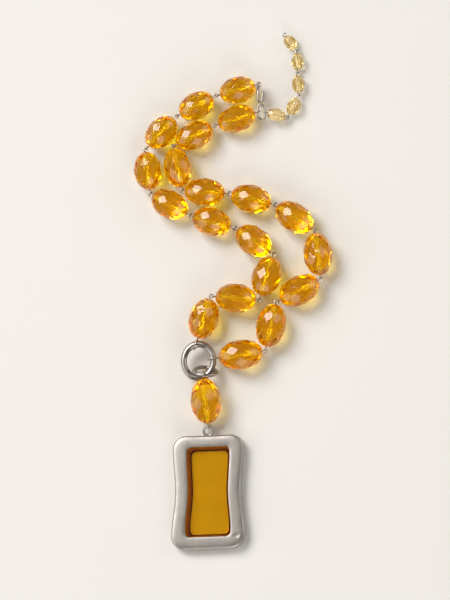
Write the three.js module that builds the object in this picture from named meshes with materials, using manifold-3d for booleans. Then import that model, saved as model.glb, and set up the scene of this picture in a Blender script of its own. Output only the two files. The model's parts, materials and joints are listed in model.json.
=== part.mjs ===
import * as THREE from 'three';
import { mergeVertices } from 'three/addons/utils/BufferGeometryUtils.js';
import Module from 'manifold-3d';

// A pendant necklace laid on a flat surface: two strands of faceted oval beads
// on eye wires run from a centre ring to a hook and an extender, and a cast
// pendant hangs from the ring on a drop bead. Millimetres, +Z up. The strands
// and the clasp are at the +Y end, and the pendant is at the -Y end.

const wasm = await Module();
wasm.setup();

// ---------------------------------------------------------------- dimensions

// Clearances.
const linkPlay = 0.3; // between two wires that are looped through each other
const centreRingPlay = 0.9; // between the centre ring and the two eyes on it
const boreClearance = 0.3; // between a wire and the bore of its bead
const shoulderGap = 0.15; // between the end of a bead and the eye beside it
const dropRingPlay = 0.8; // between the drop ring and the centre ring inside it
const seatClearance = 0.3; // between the resin inset and its tray

// Eye wires: one wire through each bead, with a closed eye at both ends.
const wireDiameter = 0.7;
const smallWireDiameter = 0.6;

// Strand beads, graduated from the centre ring to the clasp. The strands lie
// side by side, so the step from link to link is never less than this share of
// the bead's width.
const leastStepPerWidth = 1.62;
const hookBeadLengths = [20.5, 18.4]; // at the centre ring and at the clasp
const extenderBeadLengths = [21.9, 19.3];
const beadWidthAtRing = 15.4;
const beadWidthAtClasp = 14.0;

// Drop bead, between the centre ring and the pendant.
const dropBeadLength = 22.4;
const dropBeadWidth = 15.8;

// Extender beads, graduated from the end ring to the free end.
const smallBeadLengthFirst = 9.2;
const smallBeadLengthLast = 7.6;
const smallBeadWidthFirst = 6.7;
const smallBeadWidthLast = 6.2;

// Facets of every bead.
const beadFacets = 10;
const smallBeadFacets = 8;
const facetLatitudes = [-76, -50, -25, 0, 25, 50, 76];
const smallFacetLatitudes = [-72, -38, 0, 38, 72];

// Centre ring, an oval of round wire that lies flat.
const centreRingWidth = 18.2;
const centreRingLength = 20.4;
const centreRingWire = 3.1;

// Drop ring, looped round the centre ring and leaning towards the pendant. Its
// angle is where it crosses the centre ring, counterclockwise from +X.
const dropRingDiameter = 13.4;
const dropRingWire = 2.1;
const dropRingAngle = -41;
const dropRingHeading = -8;
const dropRingLean = 27;

// Pendant: a cast tray with a waist, holding a resin inset.
const pendantLength = 58.5;
const pendantWidthTop = 36.4;
const pendantWidthWaist = 33.4;
const pendantWidthBottom = 38.0;
const pendantThickness = 6.4;
const pendantCorner = 7.5;
const pendantEdgeRound = 1.5;
const pendantTopDip = 0.7;
const pendantRise = 0.03; // of the top and bottom edges, per unit to the right
const windowLength = 45.6;
const windowWidthTop = 21.8;
const windowWidthWaist = 20.2;
const windowWidthBottom = 23.1;
const windowCorner = 2.4;
const trayFloor = 1.4;
const resinRecess = 0.5;

// Loop cast on the top edge of the pendant.
const bailDiameter = 6.4;
const bailWire = 1.5;
const bailTilt = 22;
const bailStandoff = 1.8; // from the top edge to the centre of the loop

// Blank oval cartouche sunk in the lower right of the pendant's front.
const cartoucheWidth = 3.8;
const cartoucheHeight = 2.8;
const cartoucheDepth = 0.3;
const cartoucheFromBottom = 6.5;
const cartoucheFromSide = 4.5;

// Hook clasp.
const hookWire = 1.1;
const hookLength = 8.2;
const hookSpread = 2.4; // between the shank and the return leg

// End ring, where the extender meets its strand.
const endRingLength = 8.6;
const endRingWidth = 4.8;
const endRingWire = 1.1;

// Angles round the centre ring where the strands start, and the heading of
// each link from there to the clasp. Degrees, counterclockwise from +X.
const hookStrandStart = 100;
const hookStrandHeadings = [73, -5, 72, 145, 163, 151, 97, 47, 27, 14];
const extenderStrandStart = 7;
const extenderStrandHeadings = [8, 77, 27, 96, 146, 165, 176, 102, 26, 17];
const dropHeading = -86.5;
const dropSlope = 18;
const hookHeading = -94;
const endRingHeading = -86;
const extenderHeadings = [-12, 62, 93, 90, 127];
const extenderOffset = 0.4; // along the end ring, between the two eyes on it

// -------------------------------------------------------------------- finishes

const amber = new THREE.MeshStandardMaterial({ color: 0xd88a0c, roughness: 0.12, metalness: 0 });
const honey = new THREE.MeshStandardMaterial({ color: 0xd9b25c, roughness: 0.15, metalness: 0 });
const wireSteel = new THREE.MeshStandardMaterial({ color: 0xa89a86, roughness: 0.3, metalness: 1 });
const ringSteel = new THREE.MeshStandardMaterial({ color: 0xb0aca6, roughness: 0.35, metalness: 1 });
const pewter = new THREE.MeshStandardMaterial({ color: 0xcfcac3, roughness: 0.45, metalness: 1 });
const resin = new THREE.MeshStandardMaterial({ color: 0xc08800, roughness: 0.25, metalness: 0 });

// --------------------------------------------------------------------- helpers

const rad = THREE.MathUtils.degToRad;
const necklace = new THREE.Group();

function solidOf(geometry) {
  const bare = geometry.clone();
  bare.deleteAttribute('normal');
  bare.deleteAttribute('uv');
  const merged = mergeVertices(bare, 1e-4);
  return new wasm.Manifold(new wasm.Mesh({
    numProp: 3,
    vertProperties: merged.getAttribute('position').array,
    triVerts: new Uint32Array(merged.getIndex().array),
  }));
}

function geometryOf(solid) {
  const mesh = solid.getMesh();
  const geometry = new THREE.BufferGeometry();
  geometry.setAttribute('position', new THREE.BufferAttribute(mesh.vertProperties, 3));
  geometry.setIndex(new THREE.BufferAttribute(mesh.triVerts, 1));
  return geometry;
}

function addMesh(parent, name, geometry, material) {
  const mesh = new THREE.Mesh(geometry, material);
  mesh.name = name;
  parent.add(mesh);
}

// Unit vector along a heading in the plan, falling by the slope.
function direction(heading, slope = 0) {
  const plan = Math.cos(rad(slope));
  return new THREE.Vector3(plan * Math.cos(rad(heading)), plan * Math.sin(rad(heading)), -Math.sin(rad(slope)));
}

// Group whose +X runs along a heading and falls by the slope.
function linkGroup(start, heading, slope = 0) {
  const group = new THREE.Group();
  group.position.copy(start);
  group.rotation.set(0, rad(slope), rad(heading), 'ZYX');
  necklace.add(group);
  return group;
}

// Centreline radius of an eye of one wire looped round another.
function eyeRadius(ownWire, heldWire, play = linkPlay) {
  return ownWire / 2 + heldWire / 2 + play;
}

// Ring of round wire in the XY plane, or in the XZ plane when upright.
function wireRing(radius, wire, upright, sides = 6, steps = 10) {
  const ring = new THREE.TorusGeometry(radius, wire / 2, sides, steps);
  if (upright) {
    ring.rotateX(Math.PI / 2);
  }
  return ring;
}

// ----------------------------------------------------------------------- beads

// Faceted oval with a bore, along +X from the middle. Its rows of facets are
// staggered, so each ring of corners is turned half a facet past the last, and
// the widest ring has a corner at its lowest point.
function beadGeometry(length, width, bore, facets, latitudes) {
  const endLatitude = rad(latitudes[latitudes.length - 1]);
  const outer = latitudes.map((latitude) => new THREE.Vector2(
    (width / 2) * Math.cos(rad(latitude)),
    (length / 2) * Math.sin(rad(latitude)) / Math.sin(endLatitude),
  ));
  const bottom = new THREE.Vector2(bore / 2, -length / 2);
  const top = new THREE.Vector2(bore / 2, length / 2);
  const profile = [bottom, ...outer, top, bottom];
  const bead = new THREE.LatheGeometry(profile, facets);
  const position = bead.getAttribute('position');
  const corner = new THREE.Vector3();
  const axis = new THREE.Vector3(0, 1, 0);
  for (let index = 0; index < position.count; index += 1) {
    const row = index % profile.length;
    const latitudeRow = THREE.MathUtils.clamp(row - 1, 0, latitudes.length - 1);
    const turns = (latitudeRow - (latitudes.length - 1) / 2) / 2;
    corner.fromBufferAttribute(position, index);
    corner.applyAxisAngle(axis, turns * 2 * Math.PI / facets);
    position.setXYZ(index, corner.x, corner.y, corner.z);
  }
  bead.rotateZ(-Math.PI / 2);
  return bead;
}

// Wire from the centre of its first eye, at the origin, along +X. The first
// eye is upright, so it turns on the wire that it holds.
function eyeWireGeometry(span, wire, firstEye, lastEye, lastUpright) {
  const shank = new THREE.CylinderGeometry(wire / 2, wire / 2, span - firstEye - lastEye, 6);
  shank.rotateZ(Math.PI / 2);
  shank.translate((span + firstEye - lastEye) / 2, 0, 0);
  const last = wireRing(lastEye, wire, lastUpright);
  last.translate(span, 0, 0);
  const first = wireRing(firstEye, wire, true);
  return geometryOf(solidOf(shank).add(solidOf(first)).add(solidOf(last)));
}

// Distance between the two eye centres of a link.
function linkSpan(length, wire, firstEye, lastEye, neck = shoulderGap) {
  return length + firstEye + lastEye + wire + 2 * neck;
}

// One bead on its eye wire, with a neck of bare wire between the bead and each
// eye. Returns the centre of the last eye.
function addLink(link) {
  const { names, start, heading, slope, length, width, wire, firstEye, lastEye, lastUpright } = link;
  const neck = link.neck ?? shoulderGap;
  const beadStart = firstEye + wire / 2 + neck;
  const span = linkSpan(length, wire, firstEye, lastEye, neck);
  const group = linkGroup(start, heading, slope);
  const bead = beadGeometry(length, width, wire + 2 * boreClearance, link.facets, link.latitudes);
  bead.translate(beadStart + length / 2, 0, 0);
  addMesh(group, names.wire, eyeWireGeometry(span, wire, firstEye, lastEye, lastUpright), wireSteel);
  addMesh(group, names.bead, bead, link.finish);
  return start.clone().addScaledVector(direction(heading, slope), span);
}

// --------------------------------------------------------------------- strands

const strandEye = eyeRadius(wireDiameter, wireDiameter);
const centreEye = eyeRadius(wireDiameter, centreRingWire, centreRingPlay);
const hookEye = eyeRadius(wireDiameter, hookWire);
const endRingEye = eyeRadius(wireDiameter, endRingWire);
const centreRingHeight = beadWidthAtRing / 2;

// Point on the centreline of the centre ring.
function centreRingPoint(angle) {
  return new THREE.Vector3(
    (centreRingWidth - centreRingWire) / 2 * Math.cos(rad(angle)),
    (centreRingLength - centreRingWire) / 2 * Math.sin(rad(angle)),
    centreRingHeight,
  );
}

// Ten links from the centre ring to the clasp. Each eye lies halfway between
// the heights at which its two beads rest. Returns the centre of the last eye.
function addStrand(strand, startAngle, headings, lengths, lastEye, lastUpright) {
  const count = headings.length;
  const lengthOf = (index) => THREE.MathUtils.lerp(lengths[0], lengths[1], index / (count - 1));
  const widthOf = (index) => THREE.MathUtils.lerp(beadWidthAtRing, beadWidthAtClasp, index / (count - 1));
  const neckOf = (index) => Math.max(
    shoulderGap,
    (leastStepPerWidth * widthOf(index) - lengthOf(index) - 3 * strandEye - wireDiameter) / 2,
  );
  let start = centreRingPoint(startAngle);
  headings.forEach((heading, index) => {
    const last = index === count - 1;
    const firstEye = index === 0 ? centreEye : strandEye;
    const endEye = last ? lastEye : strandEye;
    const endHeight = last ? widthOf(index) / 2 : (widthOf(index) + widthOf(index + 1)) / 4;
    const span = linkSpan(lengthOf(index), wireDiameter, firstEye, endEye, neckOf(index));
    const number = String(index + 1).padStart(2, '0');
    const end = addLink({
      names: { wire: `${strand}_wire_${number}`, bead: `${strand}_bead_${number}` },
      start,
      heading,
      slope: THREE.MathUtils.radToDeg(Math.asin((start.z - endHeight) / span)),
      length: lengthOf(index),
      width: widthOf(index),
      neck: neckOf(index),
      wire: wireDiameter,
      firstEye,
      lastEye: endEye,
      lastUpright: last && lastUpright,
      facets: beadFacets,
      latitudes: facetLatitudes,
      finish: amber,
    });
    start = last ? end : end.addScaledVector(direction(headings[index + 1]), strandEye);
  });
  return start;
}

// ----------------------------------------------------------------- centre ring

function addCentreRing() {
  const radius = (centreRingWidth - centreRingWire) / 2;
  const ring = new THREE.TorusGeometry(radius, centreRingWire / 2, 8, 28);
  ring.scale(1, (centreRingLength - centreRingWire) / (centreRingWidth - centreRingWire), 1);
  ring.translate(0, 0, centreRingHeight);
  addMesh(necklace, 'centre_ring', ring, ringSteel);
}

// ------------------------------------------------------- drop ring and its bead

// Adds the drop ring and returns the centre of the wire at its highest point.
function addDropRing() {
  const radius = (dropRingDiameter - dropRingWire) / 2;
  const reach = radius - dropRingWire / 2 - centreRingWire / 2 - dropRingPlay;
  const group = new THREE.Group();
  group.position.copy(centreRingPoint(dropRingAngle)).addScaledVector(direction(dropRingHeading), -reach);
  group.rotation.set(rad(dropRingLean), 0, rad(dropRingHeading), 'ZYX');
  necklace.add(group);
  addMesh(group, 'drop_ring', wireRing(radius, dropRingWire, true, 8, 22), ringSteel);
  group.updateWorldMatrix(true, false);
  return new THREE.Vector3(0, 0, radius).applyMatrix4(group.matrixWorld);
}

function addDropLink(start) {
  return addLink({
    names: { wire: 'drop_wire', bead: 'drop_bead' },
    start,
    heading: dropHeading,
    slope: dropSlope,
    length: dropBeadLength,
    width: dropBeadWidth,
    wire: wireDiameter,
    firstEye: eyeRadius(wireDiameter, dropRingWire),
    lastEye: eyeRadius(wireDiameter, bailWire),
    lastUpright: true,
    facets: beadFacets,
    latitudes: facetLatitudes,
    finish: amber,
  });
}

// --------------------------------------------------------------------- pendant

// Upright outline with a waist and rounded corners, centred on the origin.
function waistedOutline(length, top, waist, bottom, corner, dip) {
  const high = length / 2;
  const shape = new THREE.Shape();
  shape.moveTo(-bottom / 2 + corner, -high);
  shape.lineTo(bottom / 2 - corner, -high);
  shape.quadraticCurveTo(bottom / 2, -high, bottom / 2, -high + corner);
  shape.bezierCurveTo(bottom / 2, -high / 3, waist / 2, -high / 3, waist / 2, 0);
  shape.bezierCurveTo(waist / 2, high / 3, top / 2, high / 3, top / 2, high - corner);
  shape.quadraticCurveTo(top / 2, high, top / 2 - corner, high);
  shape.quadraticCurveTo(0, high - 2 * dip, -top / 2 + corner, high);
  shape.quadraticCurveTo(-top / 2, high, -top / 2, high - corner);
  shape.bezierCurveTo(-top / 2, high / 3, -waist / 2, high / 3, -waist / 2, 0);
  shape.bezierCurveTo(-waist / 2, -high / 3, -bottom / 2, -high / 3, -bottom / 2, -high + corner);
  shape.quadraticCurveTo(-bottom / 2, -high, -bottom / 2 + corner, -high);
  return shape;
}

// Leans the top and bottom edges of a piece of the pendant.
function leanEdges(geometry) {
  return geometry.applyMatrix4(new THREE.Matrix4().makeShear(pendantRise, 0, 0, 0, 0, 0));
}

function trayGeometry(bail) {
  const round = pendantEdgeRound;
  const inner = waistedOutline(
    pendantLength - 2 * round,
    pendantWidthTop - 2 * round,
    pendantWidthWaist - 2 * round,
    pendantWidthBottom - 2 * round,
    pendantCorner - round,
    pendantTopDip,
  );
  const block = new THREE.ExtrudeGeometry(inner, {
    depth: pendantThickness - 2 * round,
    bevelThickness: round,
    bevelSize: round,
    bevelSegments: 3,
    curveSegments: 5,
  });
  block.translate(0, 0, round);
  const opening = waistedOutline(
    windowLength, windowWidthTop, windowWidthWaist, windowWidthBottom, windowCorner, 0,
  );
  const recess = new THREE.ExtrudeGeometry(opening, {
    depth: pendantThickness, bevelEnabled: false, curveSegments: 5,
  });
  recess.translate(0, 0, trayFloor);
  const cartouche = new THREE.CylinderGeometry(0.5, 0.5, 2 * cartoucheDepth, 14);
  cartouche.rotateX(Math.PI / 2);
  cartouche.scale(cartoucheWidth, cartoucheHeight, 1);
  cartouche.translate(
    pendantWidthBottom / 2 - cartoucheFromSide,
    -pendantLength / 2 + cartoucheFromBottom,
    pendantThickness,
  );
  const tray = solidOf(leanEdges(block)).subtract(solidOf(leanEdges(recess))).subtract(solidOf(leanEdges(cartouche)));
  return geometryOf(tray.add(solidOf(bail)));
}

function resinGeometry() {
  const outline = waistedOutline(
    windowLength - 2 * seatClearance,
    windowWidthTop - 2 * seatClearance,
    windowWidthWaist - 2 * seatClearance,
    windowWidthBottom - 2 * seatClearance,
    windowCorner - seatClearance,
    0,
  );
  const floor = trayFloor + seatClearance;
  const inset = new THREE.ExtrudeGeometry(outline, {
    depth: pendantThickness - resinRecess - floor, bevelEnabled: false, curveSegments: 5,
  });
  inset.translate(0, 0, floor);
  return leanEdges(inset);
}

// The pendant lies on its back, with the top of its loop in the drop wire's
// last eye.
function addPendant(eye) {
  const bailRadius = (bailDiameter - bailWire) / 2;
  const bailCentre = new THREE.Vector3(0, pendantLength / 2 + bailStandoff, 0);
  bailCentre.z = eye.z - bailRadius * Math.sin(rad(bailTilt));
  const bail = wireRing(bailRadius, bailWire, false, 8, 16);
  bail.rotateX(rad(bailTilt));
  bail.translate(bailCentre.x, bailCentre.y, bailCentre.z);
  const group = new THREE.Group();
  group.position.set(eye.x, eye.y - bailCentre.y - bailRadius * Math.cos(rad(bailTilt)), 0);
  necklace.add(group);
  addMesh(group, 'pendant_frame', trayGeometry(bail), pewter);
  addMesh(group, 'resin_inset', resinGeometry(), resin);
}

// ----------------------------------------------------------------------- clasp

// Hook that lies flat: shank along +X from its eye, a tight turn and a return
// leg that ends in a lifted tip.
function addHook(strandEnd) {
  const start = strandEnd.clone().addScaledVector(direction(hookHeading), hookEye);
  const group = linkGroup(start, hookHeading);
  const turn = hookSpread / 2;
  const far = hookLength - hookWire / 2;
  const route = new THREE.CatmullRomCurve3([
    new THREE.Vector3(hookEye, 0, 0),
    new THREE.Vector3(far - 2.4 * turn, 0, 0),
    new THREE.Vector3(far - turn, 0, 0),
    new THREE.Vector3(far - 0.3 * turn, 0.3 * turn, 0),
    new THREE.Vector3(far, turn, 0),
    new THREE.Vector3(far - 0.3 * turn, 1.7 * turn, 0),
    new THREE.Vector3(far - turn, hookSpread, 0),
    new THREE.Vector3(far - 2.4 * turn, hookSpread, 0),
    new THREE.Vector3(far - 3.8 * turn, 1.1 * hookSpread, 0),
  ], false, 'centripetal');
  const section = new THREE.Shape();
  section.absarc(0, 0, hookWire / 2, 0, 2 * Math.PI);
  const bend = new THREE.ExtrudeGeometry(section, { steps: 20, curveSegments: 3, extrudePath: route });
  const eye = wireRing(hookEye, hookWire, true, 6, 12);
  addMesh(group, 'clasp_hook', geometryOf(solidOf(bend).add(solidOf(eye))), ringSteel);
}

// Long flat ring that the strand's last eye holds by one side. Returns the
// point on the other side where the extender hangs.
function addEndRing(strandEnd) {
  const half = (endRingWidth - endRingWire) / 2;
  const straight = (endRingLength - endRingWidth) / 2;
  const bevel = endRingWire * 0.3;
  const outline = (radius) => {
    const shape = new THREE.Path();
    shape.absarc(straight, 0, radius, -Math.PI / 2, Math.PI / 2);
    shape.absarc(-straight, 0, radius, Math.PI / 2, 3 * Math.PI / 2);
    return shape;
  };
  const ring = new THREE.Shape(outline(endRingWidth / 2 - bevel).getPoints(6));
  ring.holes.push(new THREE.Path(outline(endRingWidth / 2 - endRingWire + bevel).getPoints(6)));
  const geometry = new THREE.ExtrudeGeometry(ring, {
    depth: endRingWire - 2 * bevel, bevelThickness: bevel, bevelSize: bevel, bevelSegments: 1,
  });
  geometry.translate(extenderOffset / 2, half, bevel - endRingWire / 2);
  const group = linkGroup(strandEnd, endRingHeading);
  addMesh(group, 'end_ring', geometry, ringSteel);
  group.updateWorldMatrix(true, false);
  return new THREE.Vector3(extenderOffset, 2 * half, 0).applyMatrix4(group.matrixWorld);
}

// -------------------------------------------------------------------- extender

function addExtender(startPoint) {
  const smallEye = eyeRadius(smallWireDiameter, smallWireDiameter);
  const last = extenderHeadings.length - 1;
  let start = startPoint;
  extenderHeadings.forEach((heading, index) => {
    const firstEye = index === 0 ? eyeRadius(smallWireDiameter, endRingWire) : smallEye;
    const length = THREE.MathUtils.lerp(smallBeadLengthFirst, smallBeadLengthLast, index / last);
    const width = THREE.MathUtils.lerp(smallBeadWidthFirst, smallBeadWidthLast, index / last);
    const span = linkSpan(length, smallWireDiameter, firstEye, smallEye);
    const number = String(index + 1);
    const end = addLink({
      names: { wire: `extender_wire_${number}`, bead: `extender_bead_${number}` },
      start,
      heading,
      slope: THREE.MathUtils.radToDeg(Math.asin((start.z - width / 2) / span)),
      length,
      width,
      wire: smallWireDiameter,
      firstEye,
      lastEye: smallEye,
      lastUpright: false,
      facets: smallBeadFacets,
      latitudes: smallFacetLatitudes,
      finish: honey,
    });
    const next = extenderHeadings[index + 1];
    start = next === undefined ? end : end.addScaledVector(direction(next), smallEye);
  });
}

// -------------------------------------------------------------------- assembly

addCentreRing();
addPendant(addDropLink(addDropRing()));
addHook(
  addStrand('hook_strand', hookStrandStart, hookStrandHeadings, hookBeadLengths, hookEye, false),
);
addExtender(addEndRing(addStrand(
  'extender_strand', extenderStrandStart, extenderStrandHeadings, extenderBeadLengths, endRingEye, true,
)));

// The origin is at the middle of the bottom of the whole piece.
necklace.updateMatrixWorld(true);
const bounds = new THREE.Box3().setFromObject(necklace, true);
const middle = bounds.getCenter(new THREE.Vector3());
necklace.position.set(-middle.x, -middle.y, -bounds.min.z);

export default necklace;
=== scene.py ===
"""Pendant necklace: amber beads on eye wires, steel rings and a cast pendant.

Every piece is built in place, in metres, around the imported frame, and rides on
the body of the node that it stands for.
"""

import json
import logging
import math
import random
from dataclasses import dataclass, field, replace
from enum import Enum
from typing import Iterable, Sequence, Union

import bmesh
import bpy
from mathutils import Matrix, Vector


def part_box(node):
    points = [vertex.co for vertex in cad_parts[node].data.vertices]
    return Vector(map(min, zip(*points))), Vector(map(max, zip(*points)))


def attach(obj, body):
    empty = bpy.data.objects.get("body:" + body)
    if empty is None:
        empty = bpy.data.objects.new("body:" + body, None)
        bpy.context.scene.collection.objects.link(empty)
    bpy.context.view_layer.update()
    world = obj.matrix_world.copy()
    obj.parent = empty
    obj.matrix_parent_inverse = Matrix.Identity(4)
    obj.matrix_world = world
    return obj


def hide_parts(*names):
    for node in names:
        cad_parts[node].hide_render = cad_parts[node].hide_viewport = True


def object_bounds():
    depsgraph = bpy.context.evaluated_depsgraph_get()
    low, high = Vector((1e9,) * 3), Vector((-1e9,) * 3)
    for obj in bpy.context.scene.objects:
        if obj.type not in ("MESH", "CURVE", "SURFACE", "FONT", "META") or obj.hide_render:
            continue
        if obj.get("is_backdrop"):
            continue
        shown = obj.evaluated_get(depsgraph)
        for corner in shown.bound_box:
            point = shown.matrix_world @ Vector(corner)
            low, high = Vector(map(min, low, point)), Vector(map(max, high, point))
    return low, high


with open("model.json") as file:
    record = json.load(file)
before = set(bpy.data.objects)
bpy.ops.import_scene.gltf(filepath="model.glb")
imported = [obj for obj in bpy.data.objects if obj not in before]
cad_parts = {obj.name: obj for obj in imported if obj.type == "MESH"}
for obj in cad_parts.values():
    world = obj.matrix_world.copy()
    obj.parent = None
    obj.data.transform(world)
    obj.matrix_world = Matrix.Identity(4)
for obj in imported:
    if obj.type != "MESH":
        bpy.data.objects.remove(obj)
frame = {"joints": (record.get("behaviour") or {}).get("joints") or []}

MM = 0.001
UP = Vector((0.0, 0.0, 1.0))
ORIGIN = Vector()
FLOOR_GAP = 0.00002
ALONG_X = Matrix.Rotation(math.pi / 2, 4, "Y")
UPRIGHT = Matrix.Rotation(math.pi / 2, 4, "X")

log = logging.getLogger("necklace")


# ---------------------------------------------------------------- shader maths


class Signal:
    """A shader output that Python's operators extend with Math nodes."""

    def __init__(self, graph: "Graph", socket: bpy.types.NodeSocket) -> None:
        """Keeps the socket and the graph that it belongs to.

        Args:
            graph: The graph that new nodes go into.
            socket: The output that this signal stands for.
        """
        self.graph = graph
        self.socket = socket

    def _maths(self, operation: str, *operands: "Value") -> "Signal":
        """Adds one Math node.

        Args:
            operation: The Math node's operation.
            *operands: Its inputs in order, as signals or numbers.

        Returns:
            The node's output.
        """
        sockets = dict(enumerate(operands))
        return self.graph.node("ShaderNodeMath", {"operation": operation}, sockets)

    def __add__(self, other: "Value") -> "Signal":
        """Adds a signal or number."""
        return self._maths("ADD", self, other)

    def __radd__(self, other: "Value") -> "Signal":
        """Adds this signal to a number."""
        return self._maths("ADD", other, self)

    def __sub__(self, other: "Value") -> "Signal":
        """Takes a signal or number away."""
        return self._maths("SUBTRACT", self, other)

    def __rsub__(self, other: "Value") -> "Signal":
        """Takes this signal from a number."""
        return self._maths("SUBTRACT", other, self)

    def __mul__(self, other: "Value") -> "Signal":
        """Multiplies by a signal or number."""
        return self._maths("MULTIPLY", self, other)

    def __rmul__(self, other: "Value") -> "Signal":
        """Multiplies a number by this signal."""
        return self._maths("MULTIPLY", other, self)

    def __pow__(self, other: "Value") -> "Signal":
        """Raises this signal to a power."""
        return self._maths("POWER", self, other)

    def over(self, low: float, high: float) -> "Signal":
        """Spreads the part of the signal between two levels over 0 to 1.

        Args:
            low: The level that becomes 0.
            high: The level that becomes 1.

        Returns:
            The clamped result.
        """
        sockets = {"Value": self, "From Min": low, "From Max": high}
        return self.graph.node("ShaderNodeMapRange", {"clamp": True}, sockets)


Value = Union[Signal, float, Sequence[float]]


class Graph:
    """Nodes of one material or world."""

    def __init__(self, owner: Union[bpy.types.Material, bpy.types.World]) -> None:
        """Empties the owner's node tree.

        Args:
            owner: The material or world whose nodes are made.
        """
        owner.use_nodes = True
        self.tree = owner.node_tree
        self.tree.nodes.clear()

    def node(
        self,
        kind: str,
        settings: Union[dict, None] = None,
        sockets: Union[dict, None] = None,
        output: Union[int, str] = 0,
    ) -> Signal:
        """Adds one node.

        Args:
            kind: The node's type.
            settings: Its properties, set first.
            sockets: Values or signals for its inputs, by name or number.
            output: The output that is handed back.

        Returns:
            That output as a signal.
        """
        node = self.tree.nodes.new(kind)
        for name, value in (settings or {}).items():
            setattr(node, name, value)
        for key, value in (sockets or {}).items():
            if isinstance(value, Signal):
                self.tree.links.new(value.socket, node.inputs[key])
            else:
                node.inputs[key].default_value = value
        if not node.outputs:
            return Signal(self, node.inputs[0])
        return Signal(self, node.outputs[output])

    def place(
        self,
        stretch: Sequence[float] = (1.0, 1.0, 1.0),
        turn: Sequence[float] = (0.0, 0.0, 0.0),
    ) -> Signal:
        """Object coordinates in metres, turned and stretched.

        Args:
            stretch: How many times finer the pattern gets along each axis.
            turn: Turn about each axis, in radians.

        Returns:
            The coordinates.
        """
        where = self.node("ShaderNodeTexCoord", output="Object")
        sockets = {"Vector": where, "Rotation": turn, "Scale": stretch}
        return self.node("ShaderNodeMapping", {"vector_type": "POINT"}, sockets)

    def noise(
        self, scale: float, detail: float = 2.0, rough: float = 0.5, **where: Sequence[float]
    ) -> Signal:
        """Noise on Object coordinates.

        Args:
            scale: Patches per metre.
            detail: Octaves of finer noise.
            rough: Share of the finer noise.
            **where: stretch and turn of the coordinates.

        Returns:
            The noise, around 0.5.
        """
        sockets = {
            "Vector": self.place(**where),
            "Scale": scale,
            "Detail": detail,
            "Roughness": rough,
        }
        return self.node("ShaderNodeTexNoise", None, sockets)

    def blend(self, share: Value, first: Value, second: Value) -> Signal:
        """Blends two colours.

        Args:
            share: 0 for the first colour, 1 for the second.
            first: Signal or RGB colour.
            second: Signal or RGB colour.

        Returns:
            The blended colour.
        """
        settings = {"data_type": "RGBA", "blend_type": "MIX", "clamp_factor": True}
        factor, colour_a, colour_b, colour_out = 0, 6, 7, 2
        sockets = {factor: share, colour_a: self._rgba(first), colour_b: self._rgba(second)}
        return self.node("ShaderNodeMix", settings, sockets, output=colour_out)

    @staticmethod
    def _rgba(colour: Value) -> Value:
        """Gives an RGB colour its alpha, and leaves a signal alone."""
        return colour if isinstance(colour, Signal) else (*colour[:3], 1.0)

    def bump(self, height: Signal, depth: float, strength: float) -> Signal:
        """Turns a height into a normal.

        Args:
            height: Height from 0 to 1.
            depth: What a height of 1 stands for, in metres.
            strength: Share of the effect.

        Returns:
            The normal.
        """
        sockets = {"Height": height, "Distance": depth, "Strength": strength}
        return self.node("ShaderNodeBump", None, sockets, output="Normal")


# -------------------------------------------------------------------- finishes


@dataclass(frozen=True)
class Finish:
    """A named procedural material."""

    name: str

    def material(self) -> bpy.types.Material:
        """The material, made once and then shared."""
        made = bpy.data.materials.get(self.name)
        return made or self._make()

    def _make(self) -> bpy.types.Material:
        """Makes the material and its nodes.

        Returns:
            The new material.
        """
        made = bpy.data.materials.new(self.name)
        graph = Graph(made)
        sockets = {"Surface": self._surface(graph)}
        inside = self._inside(graph)
        if inside is not None:
            sockets["Volume"] = inside
        graph.node("ShaderNodeOutputMaterial", None, sockets)
        return made

    def _surface(self, graph: Graph) -> Signal:
        """The surface shader."""
        raise NotImplementedError

    def _inside(self, graph: Graph) -> Union[Signal, None]:
        """The volume shader, where light passes through the piece."""
        return None


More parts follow.
